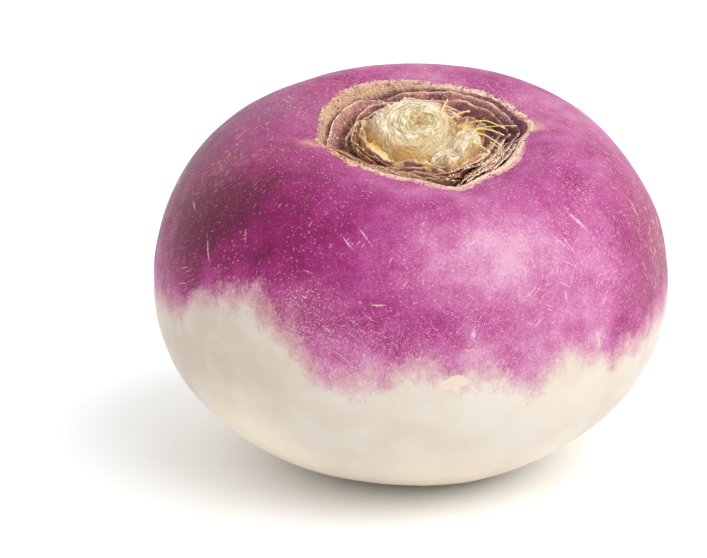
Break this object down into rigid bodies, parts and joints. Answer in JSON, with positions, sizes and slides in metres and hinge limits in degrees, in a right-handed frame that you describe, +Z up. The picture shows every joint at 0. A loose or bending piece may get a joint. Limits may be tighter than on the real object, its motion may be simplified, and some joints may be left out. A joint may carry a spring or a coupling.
{
  "type": "turnip",
  "caption": "Purple-topped, white-bottomed turnip, trimmed, with a cut stem, dry leaf-base scales and loose fibres in its sunken crown.",
  "frame": {"origin": "on the trimmed root face that the turnip rests on, straight below the middle of its widest ring", "axes": "+Z up from the rest face, +X to the right, -Y towards the front, where the crown leans"},
  "size_m": [0.0898, 0.0905, 0.0652],
  "materials": {
    "skin": "satin",
    "stem_flesh": "matte",
    "dry_scale": "matte",
    "leaf_base": "matte",
    "vein_fibre": "satin"
  },
  "bodies": {
    "root": {"root": "skin", "crown_stem": "stem_flesh", "leaf_stalk_stub_1": "stem_flesh", "leaf_stalk_stub_2": "stem_flesh", "outer_scale_1": "dry_scale", "outer_scale_2": "dry_scale", "outer_scale_3": "dry_scale", "outer_scale_4": "dry_scale", "middle_scale_1": "dry_scale", "middle_scale_2": "dry_scale", "middle_scale_3": "dry_scale", "middle_scale_4": "dry_scale", "leaf_base_1": "leaf_base", "leaf_base_2": "leaf_base", "leaf_base_3": "leaf_base", "leaf_base_4": "leaf_base", "fibre_1": "vein_fibre", "fibre_2": "vein_fibre", "fibre_3": "vein_fibre", "fibre_4": "vein_fibre", "fibre_5": "vein_fibre", "fibre_6": "vein_fibre", "fibre_7": "vein_fibre", "fibre_8": "vein_fibre"}
  },
  "joints": []
}
